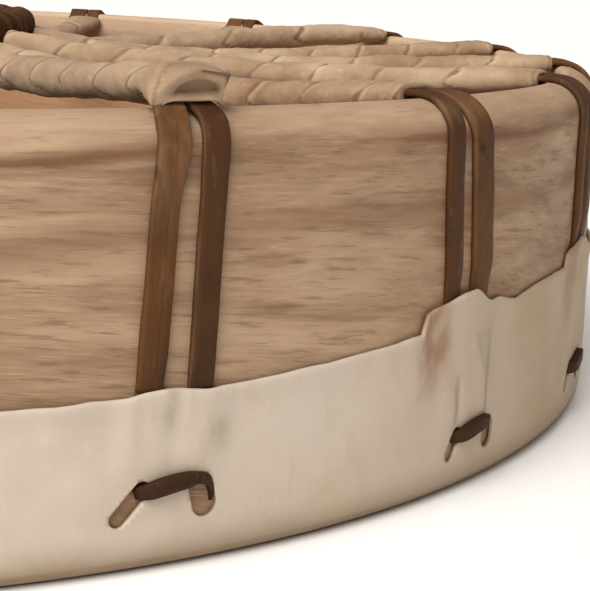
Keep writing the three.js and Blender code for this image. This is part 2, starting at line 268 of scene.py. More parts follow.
class Nodes:
    """Short ways to add shader nodes to one material."""

    def __init__(self, name):
        self.material = bpy.data.materials.new(name)
        self.material.use_nodes = True
        self.tree = self.material.node_tree
        self.shader = self.tree.nodes["Principled BSDF"]
        self.place = self.add("ShaderNodeTexCoord", {}).outputs["Object"]
        self.grain = self.place
        self.tone = None
        self.normal = None

    def add(self, kind, inputs, **settings):
        node = self.tree.nodes.new(kind)
        for key, value in settings.items():
            setattr(node, key, value)
        self.feed(node, inputs)
        return node

    def feed(self, node, inputs):
        """Links other nodes to a node's inputs, given by name or number, or sets their values."""
        for key, value in inputs.items():
            if isinstance(value, bpy.types.NodeSocket):
                self.tree.links.new(value, node.inputs[key])
            else:
                node.inputs[key].default_value = value

    def math(self, operation, *numbers):
        return self.add("ShaderNodeMath", dict(enumerate(numbers)), operation=operation).outputs[0]

    def times(self, a, b):
        return self.math("MULTIPLY", a, b)

    def stretch(self, place, scale):
        node = self.add("ShaderNodeVectorMath", {0: place, 1: scale}, operation="MULTIPLY")
        return node.outputs[0]

    def noise(self, scale, detail, roughness, distortion=0.0):
        """Noise in cells to the metre along X, Y and Z."""
        inputs = {"Vector": self.stretch(self.grain, scale), "Scale": 1.0, "Detail": detail}
        inputs.update({"Roughness": roughness, "Distortion": distortion})
        return self.add("ShaderNodeTexNoise", inputs).outputs["Fac"]

    def lean_grain(self, slope, top):
        """Makes noise follow lines that are level at the top and fall along X further down."""
        x, y, z = self.add("ShaderNodeSeparateXYZ", {0: self.place}).outputs
        fall = self.math("MULTIPLY_ADD", z, -slope / top, slope)
        level = self.math("MULTIPLY_ADD", x, fall, z)
        self.grain = self.add("ShaderNodeCombineXYZ", {0: x, 1: y, 2: level}).outputs[0]

    def value(self, name):
        return self.add("ShaderNodeAttribute", {}, attribute_name=name).outputs["Fac"]

    def ramp(self, value, low, high, start=0.0, end=1.0):
        """A value taken from low..high to start..end, smoothly and no further."""
        inputs = {"Value": value, "From Min": low, "From Max": high, "To Min": start, "To Max": end}
        node = self.add("ShaderNodeMapRange", inputs, interpolation_type="SMOOTHSTEP")
        return node.outputs["Result"]

    def height(self):
        return self.add("ShaderNodeSeparateXYZ", {0: self.place}).outputs["Z"]

    def radius(self):
        flat = self.stretch(self.place, (1, 1, 0))
        return self.add("ShaderNodeVectorMath", {0: flat}, operation="LENGTH").outputs["Value"]

    def band(self, height, half, wobble):
        """How near a place is to a level line on the drum's side that wavers by a wobble from 0 to 1."""
        sway = 0.012
        line = self.math("MULTIPLY_ADD", wobble, sway, height - sway / 2)
        away = self.math("ABSOLUTE", self.math("SUBTRACT", self.height(), line))
        return self.ramp(away, half, 0.0)

    def mix(self, share, a, b):
        node = self.add("ShaderNodeMix", {}, data_type="RGBA")
        self.feed(node, {"Factor": share, "A": a, "B": b})
        return node.outputs["Result"]

    def blend(self, share, low, high):
        """Starts the surface's colour as a blend of two."""
        self.tone = self.mix(share, colour(*low), colour(*high))

    def tint(self, share, *shade):
        """Lays one more colour over the surface."""
        self.tone = self.mix(share, self.tone, colour(*shade))

    def bump(self, height, strength, distance):
        """Adds one more relief to the surface."""
        inputs = {"Strength": strength, "Distance": distance, "Height": height}
        if self.normal is not None:
            inputs["Normal"] = self.normal
        self.normal = self.add("ShaderNodeBump", inputs).outputs["Normal"]

    def finish(self, roughness, specular):
        inputs = {"Base Color": self.tone, "Roughness": roughness, "Specular IOR Level": specular}
        if self.normal is not None:
            inputs["Normal"] = self.normal
        self.feed(self.shader, inputs)
        return self.material


def colour(red, green, blue):
    """A display colour from 0 to 255, as the linear colour that a shader takes."""
    shares = [c / 255 for c in (red, green, blue)]
    linear = [c / 12.92 if c <= 0.04 else ((c + 0.055) / 1.055) ** 2.4 for c in shares]
    return (*linear, 1.0)


def wood_material():
    n = Nodes("bent_wood")
    n.lean_grain(0.24, BACK_HEIGHT * MM)
    broad = n.noise((7, 7, 34), 3, 0.55)
    bands = n.noise((9, 9, 95), 4, 0.6, 0.5)
    patches = n.noise((27, 27, 170), 4, 0.6, 0.3)
    flecks = n.noise((120, 120, 1150), 3, 0.6)
    streaks = n.noise((16, 16, 330), 4, 0.6, 0.3)
    pores = n.noise((110, 110, 2400), 3, 0.55)
    sway = n.noise((9, 9, 6), 2, 0.5)
    breaks = n.noise((24, 24, 260), 4, 0.6)
    n.blend(n.ramp(broad, 0.3, 0.7), (149, 116, 89), (175, 145, 116))
    n.tint(n.ramp(bands, 0.46, 0.7, 0.0, 0.6), 133, 102, 76)
    n.tint(n.ramp(patches, 0.5, 0.7, 0.0, 0.65), 188, 159, 130)
    n.tint(n.ramp(patches, 0.48, 0.3, 0.0, 0.65), 122, 91, 67)
    n.tint(n.ramp(streaks, 0.54, 0.72, 0.0, 0.55), 118, 86, 60)
    n.tint(n.ramp(flecks, 0.53, 0.72, 0.0, 0.55), 112, 82, 58)
    n.tint(n.ramp(flecks, 0.47, 0.28, 0.0, 0.45), 190, 160, 128)
    red_line = n.band(0.0688, 0.0024, sway)
    n.tint(n.times(red_line, n.ramp(breaks, 0.36, 0.56, 0.15, 0.95)), 116, 78, 52)
    dark_band = n.band(0.0555, 0.005, sway)
    n.tint(n.times(dark_band, n.ramp(bands, 0.35, 0.6, 0.3, 0.75)), 126, 92, 66)
    # Painted highlight: the wood paler towards the top of the rounded back edge
    back_edge_highlight = n.ramp(n.height(), 0.0685, 0.0735, 0.0, 0.5)
    n.tint(back_edge_highlight, 194, 163, 132)
    n.tint(n.ramp(pores, 0.58, 0.76, 0.0, 0.4), 90, 63, 44)
    inside = n.ramp(n.radius(), 0.1925, 0.1905)
    # Painted warm glow: the hoop's inside turns orange lower down, for light coming through the skin
    n.tint(n.times(inside, n.ramp(n.height(), 0.064, 0.048, 0.1, 0.5)), 190, 140, 102)
    # Painted light: the hoop's inside paler near its top, where the far wall is lit
    n.tint(n.times(inside, n.ramp(n.height(), 0.056, 0.066, 0.0, 0.35)), 216, 188, 158)
    n.bump(flecks, 0.25, 0.0005)
    n.bump(n.ramp(pores, 0.58, 0.76, 1.0, 0.0), 0.25, 0.0003)
    return n.finish(n.ramp(streaks, 0.3, 0.75, 0.58, 0.75), specular=0.3)


def rawhide_material():
    n = Nodes("rawhide")
    cloud = n.noise((14, 14, 18), 4, 0.55)
    blotch = n.noise((45, 45, 40), 5, 0.6, 0.4)
    fibre = n.noise((330, 330, 60), 4, 0.6)
    speck = n.noise((600, 600, 600), 3, 0.6)
    mottle = n.noise((130, 130, 85), 5, 0.65, 0.5)
    n.blend(n.ramp(cloud, 0.3, 0.7), (189, 172, 152), (206, 192, 176))
    n.tint(n.ramp(blotch, 0.5, 0.78, 0.0, 0.4), 182, 163, 134)
    n.tint(n.ramp(mottle, 0.5, 0.7, 0.0, 0.3), 180, 162, 134)
    n.tint(n.ramp(mottle, 0.45, 0.3, 0.0, 0.35), 214, 201, 184)
    n.tint(n.ramp(fibre, 0.55, 0.8, 0.0, 0.2), 158, 137, 108)
    # Painted shade: the skin darker in broad bands round the drum
    n.tint(n.times(n.value("shade_bands"), n.ramp(blotch, 0.3, 0.65, 0.85, 1.0)), 172, 148, 117)
    # Real stains beside the laces, with painted shade on the skin's inner face, in its holes and under its
    # cut edge
    n.tint(n.times(n.value("stain_and_shade"), n.ramp(mottle, 0.38, 0.6, 0.55, 1.0)), 150, 116, 90)
    # Grey marks along a tight pair, and painted shade in a hollow beside a slack pair's right strand
    n.tint(n.times(n.value("grey"), n.ramp(mottle, 0.36, 0.6, 0.45, 1.0)), 158, 144, 118)
    # Painted shade in the skin's creases
    n.tint(n.times(n.value("crease"), n.ramp(cloud, 0.25, 0.65, 0.6, 1.0)), 112, 96, 76)
    # Painted shade: the skin darker towards the bottom of its fold, up to a ragged height
    ragged_height = n.math("ADD", n.height(), n.times(blotch, 0.004))
    n.tint(n.ramp(ragged_height, 0.0105, 0.0025, 0.0, 0.8), 134, 110, 82)
    n.bump(blotch, 0.15, 0.0014)
    n.bump(fibre, 0.06, 0.0004)
    n.bump(speck, 0.08, 0.0003)
    return n.finish(n.ramp(blotch, 0.3, 0.7, 0.52, 0.66), specular=0.35)


def lace_material():
    n = Nodes("dark_lace")
    cloud = n.noise((70, 70, 50), 4, 0.6)
    grain = n.noise((900, 900, 900), 4, 0.6)
    wear = n.noise((260, 260, 90), 5, 0.65, 0.4)
    bent = n.math("ADD", n.value("across"), n.times(cloud, 1.4))
    lines = n.add("ShaderNodeTexNoise", {}, noise_dimensions="1D")
    n.feed(lines, {"W": n.times(bent, 1.5), "Scale": 1.0, "Detail": 2.0})
    line = lines.outputs["Fac"]
    n.blend(n.value("tone"), (48, 29, 16), (114, 74, 39))
    n.tint(n.ramp(cloud, 0.42, 0.7, 0.0, 0.6), 54, 34, 22)
    n.tint(n.times(n.value("streak"), n.ramp(line, 0.35, 0.75)), 40, 25, 17)
    n.tint(n.ramp(wear, 0.56, 0.76, 0.0, 0.4), 132, 98, 70)
    n.tint(n.times(n.value("edge"), n.ramp(wear, 0.35, 0.6, 0.2, 0.8)), 150, 116, 86)
    # Painted shade of a fold crease near the top of some strands
    n.tint(n.times(n.value("fold"), 0.95), 30, 18, 12)
    n.bump(line, 0.08, 0.0004)
    n.bump(wear, 0.2, 0.0005)
    n.bump(grain, 0.2, 0.0003)
    return n.finish(n.ramp(grain, 0.3, 0.7, 0.55, 0.7), specular=0.12)


def buckskin_material():
    n = Nodes("buckskin")
    cloud = n.noise((55, 55, 55), 4, 0.6)
    nap = n.noise((1400, 1400, 1400), 4, 0.65)
    crackle = n.noise((420, 420, 420), 5, 0.7, 0.6)
    n.blend(n.ramp(cloud, 0.3, 0.7), (150, 121, 93), (186, 158, 127))
    n.tint(n.ramp(crackle, 0.56, 0.72, 0.0, 0.4), 136, 104, 76)
    n.tint(n.ramp(crackle, 0.42, 0.3, 0.0, 0.4), 206, 180, 149)
    n.tint(n.times(n.value("brown"), n.ramp(crackle, 0.3, 0.6, 0.5, 1.0)), 136, 98, 66)
    # Painted shade in the crevices at the turns' steps, under the outer layer's edge and inside the mouths
    n.tint(n.times(n.value("tuck_shade"), n.ramp(cloud, 0.3, 0.6, 0.35, 0.75)), 106, 77, 52)
    n.tint(n.times(n.value("edge"), n.ramp(cloud, 0.35, 0.65, 0.1, 0.5)), 206, 181, 150)
    n.bump(crackle, 0.3, 0.0008)
    n.bump(nap, 0.2, 0.0003)
    n.feed(n.shader, {"Sheen Weight": 0.1, "Sheen Roughness": 0.6})
    return n.finish(n.ramp(nap, 0.3, 0.7, 0.78, 0.95), specular=0.2)


def floor_material():
    n = Nodes("pale_floor")
    cloud = n.noise((3, 3, 3), 2, 0.5)
    n.tone = n.mix(cloud, (0.95, 0.935, 0.915, 1), (0.97, 0.955, 0.935, 1))
    return n.finish(0.9, specular=0.1)


WOOD = wood_material()
RAWHIDE = rawhide_material()
LACE = lace_material()
BUCKSKIN = buckskin_material()


# The bent wooden hoop


def quarter(centre_out, centre_up, radius, start, steps):
    """A quarter of a circle in a profile: distances out and heights."""
    a = np.radians(start + 90 * np.arange(steps + 1) / steps)
    return np.stack([centre_out + radius * np.cos(a), centre_up + radius * np.sin(a)], axis=-1)


def between(low, high, count):
    """Points from low to high, without either end."""
    share = (np.arange(count) + 1)[:, None] / (count + 1)
    return np.asarray(low) + share * (np.asarray(high) - np.asarray(low))


def hoop():
    """The bent wood, with a broadly rounded back edge that is worn a little uneven."""
    columns = 480
    low = HOOP_FOOT + HOOP_ROUNDING
    corners = [
        quarter(HOOP_RADIUS - HOOP_ROUNDING, low, HOOP_ROUNDING, -90, 5),
        quarter(ROUNDING_CENTRE, ROUNDING_FOOT, BACK_ROUNDING, 0, 14),
        quarter(HOOP_INSIDE + INNER_ROUNDING, BACK_HEIGHT - INNER_ROUNDING, INNER_ROUNDING, 90, 8)[1:],
        quarter(HOOP_INSIDE + HOOP_ROUNDING, low, HOOP_ROUNDING, 180, 5),
    ]
    outside = between(corners[0][-1], corners[1][0], 14)
    inside = between(corners[2][-1], corners[3][0], 14)
    profile = np.concatenate([corners[0], outside, corners[1], corners[2], inside, corners[3]])
    angle = np.linspace(0, 360, columns, endpoint=False)[:, None]
    out, up = profile[:, 0], profile[:, 1]
    wear = 0.07 * np.abs(round_noise(angle, up, 40, 30, 3))
    wave = 0.2 * np.abs(round_noise(angle, 0 * up, 22, 1, 5)) * smooth(BACK_HEIGHT - 8, BACK_HEIGHT, up)
    points = place(angle, out - wear, up - wave)
    faces = grid_faces(columns, len(profile), True, True)
    return make_piece("wooden_hoop_fine", points, faces, WOOD, ["wooden_hoop"])


# The rawhide skin


def edge_height(angle):
    """The skin's hand-cut edge: long waves, a lopsided peak at each slack pair, and small nicks."""
    up = SKIN_EDGE_HEIGHT - 3.8 * np.cos(np.radians(4 * (angle + 5)))
    peak_at = [-3.0, -2.75, -2.6, -1.95, -0.15, 0.8, 1.9, 2.4, 3.0, 3.85, 4.8, 6.1, 7.1, 8.5]
    peak = [0.05, 0.43, 0.6, 0.74, 0.89, 0.98, 1.0, 0.8, 0.53, 0.32, 0.3, 0.07, -0.09, 0]
    for pair in range(LACE_PAIRS):
        aside = turn_from(PAIR_STEP * pair, angle)
        slack = slackness(pair)
        up = up + 5.6 * slack * np.interp(aside, peak_at, peak, left=0, right=0)
        up = up + (1 - slack) * bell(aside, -0.4, 1.7)
    up = up + 0.35 * round_noise(angle, 0, 90, 1, 11)
    return up + 0.22 * round_noise(angle, 0, 420, 1, 12)


def strand_offset(pair, up):
    """How far each strand's middle is from the pair's middle, wider towards the holes."""
    low = stitch_height(pair)
    at = [low, low + 6, low + 16, 40, 60, 70, 76]
    return np.interp(up, at, [5.0, 4.9, 4.75, 4.5, 4.4, 3.95, 3.67])


def skin_lift(angle, up):
    """How far the laces underneath lift the skin off the wood, with a dip between the two strands."""
    lift = np.zeros(np.broadcast(angle, up).shape)
    for pair in range(LACE_PAIRS):
        aside = turn_from(lace_angle(pair, up), angle)
        x = np.radians(aside) * SKIN_OUTSIDE
        offset = strand_offset(pair, up)
        low = stitch_height(pair)
        slack = slackness(pair)
        table = 1 - smooth(offset + 2.2, offset + 7.5, np.abs(x))
        dip = 0.25 * bell(x, 0, 1.6)
        height = table * (SKIN_LIFT + 0.35 * slack * bell(x, -0.5, 4.5)) - dip * SKIN_LIFT
        crease = bell(x, -5.0, 0.8) + bell(x, 5.6, 0.8)
        height = height - 0.3 * slack * crease * smooth(low + 17, low + 9, up)
        lift = lift + height * smooth(low - 1, low + 6, up) * (np.abs(aside) < PAIR_STEP / 2)
    return np.maximum(lift, 0)


def skin_columns():
    """Angles of the skin's upright rows: close together at the laces, wider between them."""
    near = np.arange(-5.0, 5.01, 0.22)
    far = np.arange(6.0, 13.6, 1.0)
    return np.concatenate([PAIR_STEP * pair + np.concatenate([near, far]) for pair in range(LACE_PAIRS)])


def hole_outline(pair, side):
    """One hole's outline, across and up from the middle of the stitch.

    The left hole is a slot that leans away from the stitch, the right one is short and round.
    """
    tight = hand(pair)
    if side < 0:
        lean, half, drop = -36 - 7 * tight, 1.55, 6.0 + 1.0 * tight
        from_across, from_up = -5.45 + 0.35 * tight, -0.5
    else:
        lean, half, drop = 4 + 10 * tight, 2.3 + 0.1 * tight, 4.0 + 0.6 * tight
        from_across, from_up = 6.1 - 0.2 * tight, -1.2
    a = np.linspace(0, 2 * math.pi, HOLE_SIDES, endpoint=False)
    across = half * np.cos(a)
    up = half * np.sin(a) + np.where(np.sin(a) > 0, 0.0, half * 0.6 - drop)
    t = math.radians(lean)
    return (
        from_across + across * math.cos(t) - up * math.sin(t),
        from_up + across * math.sin(t) + up * math.cos(t),
    )


def hole_cutter():
    """A plug through the skin at every hole, to cut them all at once."""
    points, faces = [], []
    for pair in range(LACE_PAIRS):
        for side in (-1, 1):
            across, up = hole_outline(pair, side)
            angle = stitch_angle(pair) + np.degrees(across / SKIN_OUTSIDE)
            start = len(points)
            for out in (HOOP_RADIUS - 1.5, SKIN_OUTSIDE + 6):
                points.extend(place(angle, out, stitch_height(pair) + up).tolist())
            for i in range(HOLE_SIDES):
                j = (i + 1) % HOLE_SIDES
                faces.append([start + i, start + j, start + HOLE_SIDES + j, start + HOLE_SIDES + i])
            faces.append([start + i for i in reversed(range(HOLE_SIDES))])
            faces.append([start + HOLE_SIDES + i for i in range(HOLE_SIDES)])
    return add_object("hole_cutter", new_mesh("hole_cutter", points, faces))


def skin():
    """The skin in one sheet: the face, the fold, the wall with its edge, and the same way back inside."""
    angle = skin_columns()[:, None]
    count = len(angle)
    edge = edge_height(angle)
    face = SKIN_OUTSIDE - SKIN_FOLD
    under = np.array([0.001, 60, 110, 150, 178, 190])
    fold = quarter(face, SKIN_FOLD, SKIN_FOLD, -90, 8)
    tall = edge - SKIN_LIP - SKIN_FOLD
    curling = 0.2 + 0.5 * np.abs(round_noise(angle, 0, 70, 1, 14))
    wall_up = SKIN_FOLD + np.linspace(0, 1, 35)[1:] * tall
    warp = 0.16 * round_noise(angle, wall_up, 110, 12, 15) * smooth(5, 14, wall_up)
    wall_out = SKIN_OUTSIDE + skin_lift(angle, wall_up) + curling * smooth(5, 0, edge - wall_up) + warp
    inside_up = SKIN_FOLD + np.linspace(1, 0, 16) * tall
    inside_out = skin_lift(angle, inside_up) + curling * smooth(5, 0, edge - inside_up)
    inside_out = SKIN_OUTSIDE - SKIN_THICKNESS + inside_out
    inner_fold = quarter(face, SKIN_FOLD, SKIN_FOLD - SKIN_THICKNESS, -90, 4)[::-1]
    lip_out = wall_out[:, -1:] - np.array([0.12, 0.6, 1.05])
    lip_up = edge + np.array([-0.14, 0.0, -0.12])
    profile = [
        (under, 0 * under),
        (fold[:, 0], fold[:, 1]),
        (wall_out, wall_up),
        (lip_out, lip_up),
        (inside_out, inside_up),
        (inner_fold[:, 0], inner_fold[:, 1]),
        (under[::-1], SKIN_THICKNESS + 0 * under),
    ]
    one = np.ones((count, 1))
    out = np.concatenate([outs * one for outs, ups in profile], axis=1)
    up = np.concatenate([ups * one for outs, ups in profile], axis=1)
    points = place(angle, out, up)
    faces = grid_faces(count, out.shape[1], True, False)
    whole = make_piece("drum_skin_fine", points, faces, RAWHIDE, ["drum_skin"])
    face_outwards(whole.data, join_axis=True)
    cutter = hole_cutter()
    cut = whole.modifiers.new("holes", "BOOLEAN")
    cut.operation = "DIFFERENCE"
    cut.solver = "MANIFOLD"
    cut.object = cutter
    ready = whole.evaluated_get(bpy.context.evaluated_depsgraph_get())
    mesh = bpy.data.meshes.new_from_object(ready)
    whole.modifiers.clear()
    old = whole.data
    whole.data = mesh
    bpy.data.meshes.remove(old)
    bpy.data.objects.remove(cutter)
    paint_skin(whole)
    return whole


def paint_skin(thing):
    """Stains by the laces, grey marks, and painted shade in creases, hollows, holes and bands, by place on
    the skin.
    """
    p = vertex_places(thing)
    angle = np.degrees(np.arctan2(p[:, 0], -p[:, 1]))
    up = p[:, 2]
    out = np.hypot(p[:, 0], p[:, 1])
    on_wall = out > SKIN_OUTSIDE - 2
    stain_and_shade, grey, crease = np.zeros((3, len(p)))
    ragged = round_noise(angle, up, 240, 6, 16)
    for pair in range(LACE_PAIRS):
        aside = turn_from(PAIR_STEP * pair, angle)
        x = np.radians(aside) * SKIN_OUTSIDE
        low = stitch_height(pair)
        slack = slackness(pair)
        near = np.abs(aside) < PAIR_STEP / 2
        left_of = -6.4 - 0.12 * (37 - up) + 1.6 * ragged
        beside = np.minimum(1, 1.7 * bell(x, left_of, 3.2)) * smooth(low + 5, low + 17, up)
        stain_and_shade = np.maximum(stain_and_shade, near * beside * slack)
        middle = np.radians(lace_angle(pair, up) - PAIR_STEP * pair) * SKIN_OUTSIDE
        strip = bell(x - middle, -0.8, 1.5) * smooth(low + 6, low + 13, up)
        patch = bell(x - middle, 8.6, 2.4) * bell(up, low + 8, 2.8)
        # The triangle is painted shade in a hollow beside a slack pair's right strand; strip and patch are
        # grey marks
        slope = 6.6 + 0.54 * (31.6 - up)
        triangle = smooth(0, 0.7, x - slope) * (1 - smooth(11.6, 12.6, x)) * (1 - smooth(30.8, 32, up))
        grey = np.maximum(grey, near * (1 - slack) * np.maximum(0.75 * strip, 0.6 * patch))
        grey = np.maximum(grey, near * slack * 0.8 * triangle)
        # Painted shade in the creases beside a slack pair's strands, and faintly along both sides of every
        # pair
        left_line = bell(x, 1.5, 0.55) * smooth(low + 14, low + 8, up)
        left_line = left_line + 0.7 * bell(x, slope, 0.5) * bell(up, 27.5, 4)
        right_line = bell(x, 12.6, 0.6) * smooth(low + 22, low + 14, up)
        upward = smooth(low + 0.5, low + 3, up)
        lines = np.maximum(left_line, right_line) * upward * slack * 0.6
        crease = np.maximum(crease, near * lines)
        for side in (-1, 1):
            faint = bell(x - middle, side * 6.9, 1.0) * smooth(low + 2, low + 8, up)
            crease = np.maximum(crease, near * 0.1 * faint)
    # Painted shade in broad bands round the drum, darkest at 35 degrees and every 120 degrees on
    shade_bands = (0.5 + 0.5 * np.cos(np.radians(3 * (angle - 35)))) ** 3
    vertex_values(thing, "shade_bands", shade_bands * on_wall)
    # Painted shade on the skin's inner face, the lower part of the hole walls and the underside of the cut
    # edge
    inside = 1 - smooth(SKIN_OUTSIDE - 0.7, SKIN_OUTSIDE - 0.3, out)
    vertex_values(thing, "stain_and_shade", np.maximum(stain_and_shade, 0.9 * inside) * on_wall)
    vertex_values(thing, "grey", grey * on_wall)
    vertex_values(thing, "crease", crease * on_wall)


# The laces, with a flat section: its points across and above its middle, as shares of half its size

STRAP_ACROSS = np.array([-1, -0.98, -0.88, -0.45, 0, 0.45, 0.88, 0.98, 1, 0.96, 0.5, 0, -0.5, -0.96])
STRAP_ABOVE = np.array([-0.2, 0.7, 0.96, 1, 0.97, 1, 0.96, 0.7, -0.2, -1, -1, -1, -1, -1])


def curve_through(knots, spacing):
    """Evenly spaced points on a smooth curve through knots, with every column carried along."""
    knots = np.asarray(knots, dtype=float)
    before = 2 * knots[0] - knots[1]
    after = 2 * knots[-1] - knots[-2]
    padded = np.vstack([before, knots, after])
    pieces = []
    for i in range(1, len(padded) - 2):
        a, b, c, d = padded[i - 1 : i + 3]
        t = np.linspace(0, 1, 24, endpoint=False)[:, None]
        square = (2 * a - 5 * b + 4 * c - d) * t**2
        cube = (3 * b - a - 3 * c + d) * t**3
        pieces.append(0.5 * (2 * b + (c - a) * t + square + cube))
    fine = np.vstack(pieces + [knots[-1:]])
    length = np.concatenate([[0], np.cumsum(np.linalg.norm(np.diff(fine[:, :3], axis=0), axis=1))])
    even = np.linspace(0, length[-1], int(length[-1] / spacing) + 2)
    return np.stack([np.interp(even, length, fine[:, i]) for i in range(fine.shape[1])], axis=-1)


def rim_turn(out, clear):
    """How far, in degrees, a path that clears the wood has turned over the hoop's rounded back edge."""
    return np.degrees(np.arcsin(np.clip((out - ROUNDING_CENTRE) / (BACK_ROUNDING + clear), 0, 1)))


def roll_height(pair, out):
    """Height of a roll's middle: from under the ring to the hoop, less its sag, then over the edge.

    A roll with a ring dip hangs lowest near the ring, and the rest hang lowest half way.
    """
    mouth = mouth_radius(pair)
    share = np.clip((out - RING_RADIUS) / (min(mouth, ROUNDING_CENTRE) - RING_RADIUS), 0, 1)
    roll_sag = ROLL_SAGS[pair % len(ROLL_SAGS)]
    ring_dip = RING_DIPS[pair % len(RING_DIPS)]
    lower = max(0.0, roll_sag - SAG_AT_EDGE)
    landing = BACK_HEIGHT + (ROLL_ON_WOOD if covers_edge(pair) else 0.3 - lower)
    drop = (BACK_ROUNDING + ROLL_ON_WOOD) * (1 - np.cos(np.radians(rim_turn(out, ROLL_ON_WOOD))))
    sag = 4 * roll_sag * share * (1 - share) + DIP_PEAK * ring_dip * share * (1 - share) ** 3
    start = RING_HEIGHT - ROLL_UNDER_RING
    return start + share * (landing - start) - sag - drop


def strand_knots(pair, side):
    """Knots of one strand from inside its roll, over the back edge and down to its hole under the skin.

    Each is distance out, across and up, then the strap's width, thickness and tilt: 90 lies on the side
    of the hoop and 0 on its top.
    """
    low = stitch_height(pair)
    tight = hand(pair)
    slack = max(-tight, 0)
    wide = 4.35 + 0.55 * tight + 0.8 * slack if side < 0 else 5.5 - 0.9 * tight
    shift = 0.4 * slack if side < 0 else 1.35 * slack
    broad = 0.8 * max(tight, 0) if side < 0 else 0.3 * max(tight, 0)
    touching = shift + (-2.9 if side < 0 else 2.1)
    thick = LACE_THICKNESS
    inner = min(mouth_radius(pair), HOOP_INSIDE - 2)
    knots = []
    for back, share in ((12, 0.6), (5, 0.8)):
        knots.append((inner - back, 0.7 * touching, roll_height(pair, inner - back), wide * share, 1.2, 0))
    if not covers_edge(pair):
        start_up = max(float(roll_height(pair, inner)), BACK_HEIGHT - 4)
        knots.append((inner + 1, touching, start_up + 0.5, wide, thick, 0))
    bend = BACK_ROUNDING + LACE_OFF_WOOD + thick / 2
    for tilt in (0, 22, 45, 68, 90):
        a = math.radians(tilt)
        lift = (1 - tilt / 90) if covers_edge(pair) else 0.0
        narrow = 0.6 + 0.4 * float(smooth(0, 35, tilt)) if covers_edge(pair) else 1.0
        out = ROUNDING_CENTRE + (bend + lift) * math.sin(a)
        up = ROUNDING_FOOT + (bend + lift) * math.cos(a)
        apart = side * strand_offset(pair, up) + shift
        share = float(smooth(10, 45, tilt)) if covers_edge(pair) else tilt / 90
        across = touching + share * (apart - touching)
        knots.append((out, across + broad / 2, up, narrow * (wide + broad), thick, tilt))
    face = HOOP_RADIUS + LACE_OFF_WOOD + thick / 2
    edge = float(edge_height(np.array([edge_angle(pair)]))[0])
    for up in (65, 60, 52, edge + 5):
        extra = broad * float(smooth(61, 69, up))
        across = side * strand_offset(pair, up) + shift + extra / 2
        knots.append((face, across, up, wide + extra, thick, 90))
    hidden = HOOP_RADIUS + LACE_OFF_WOOD / 2 + LACE_UNDER_SKIN / 2
    for up in (edge - 1, low + 16, low + 9, low + 4):
        across = side * strand_offset(pair, up) + shift / 2
        knots.append((hidden, across, up, wide, LACE_UNDER_SKIN, 90))
    return knots


def stitch_knots(pair):
    """Knots of the stitch across the skin. Its ends turn in through the holes.

    A tight pair's right end hooks down along the side of its hole.
    """
    half = STITCH_HALF - 0.3 * hand(pair)
    knots = []
    for share in (-1.0, -0.93, -0.8, -0.5, 0.0, 0.5, 0.8, 0.93, 1.0):
        inward = 1.9 * float(smooth(0.72, 1.0, abs(share)))
        width = STITCH_WIDTH - 0.3 * share - 1.1 * abs(share) ** 3
        out = STITCH_OUT + 0.3 * (1 - share * share) - inward
        up = stitch_height(pair) - 0.25 + 0.85 * share + 0.5 * (1 - share * share)
        up -= 0.7 * float(smooth(0.75, 1.0, share))
        knots.append((out, half * share, up, width, STITCH_THICKNESS, 90))
    if hand(pair) > 0:
        end_up = stitch_height(pair) + 0.3
        knots[-2:] = [
            (STITCH_OUT - 0.2, half + 0.4, end_up - 0.1, 1.9, 1.3, 90),
            (STITCH_OUT - 0.8, half + 1.7, end_up - 1.2, 1.2, 1.1, 90),
            (STITCH_OUT - 1.4, half + 2.5, end_up - 2.9, 0.9, 0.9, 90),
            (STITCH_OUT - 2.0, half + 2.6, end_up - 4.5, 0.6, 0.7, 90),
        ]
    return knots


def strap_rings(pair, knots, spacing):
    """Rings of points along a flat strap, with each point's distance from its middle line and its path."""
    path = curve_through(knots, spacing)
    out, across, up, wide, thick, tilt = path.T
    angle = lace_angle(pair, up) + np.degrees(across / np.maximum(out, 150))
    spot = place(angle, out, up)
    along = np.gradient(spot, axis=0)
    along /= np.linalg.norm(along, axis=1)[:, None]
    a = np.radians(angle)
    zero = np.zeros_like(a)
    outward = np.stack([np.sin(a), -np.cos(a), zero], axis=-1)
    upward = np.stack([zero, zero, zero + 1], axis=-1)
    lean = np.radians(tilt)[:, None]
    normal = np.sin(lean) * outward + np.cos(lean) * upward
    width = np.cross(normal, along)
    width /= np.linalg.norm(width, axis=1)[:, None]
    normal = np.cross(along, width)
    step = np.arange(len(path))[:, None]
    side = np.sign(across.mean())
    ragged = 0.05 * noise_grid(step * spacing * 0.12, pair * 3.1 + side, STRAP_ACROSS > 0, 21)
    ripple = 0.1 * noise_grid(step * spacing * 0.25, pair * 5.3 + side, STRAP_ACROSS * 1.2, 22)
    from_middle = wide[:, None] / 2 * STRAP_ACROSS * (1 + ragged)
    lift = thick[:, None] / 2 * (STRAP_ABOVE + ripple * (STRAP_ABOVE > 0.5))
    aside = from_middle[..., None] * width[:, None, :]
    points = spot[:, None, :] + aside + lift[..., None] * normal[:, None, :]
    return points, from_middle, path


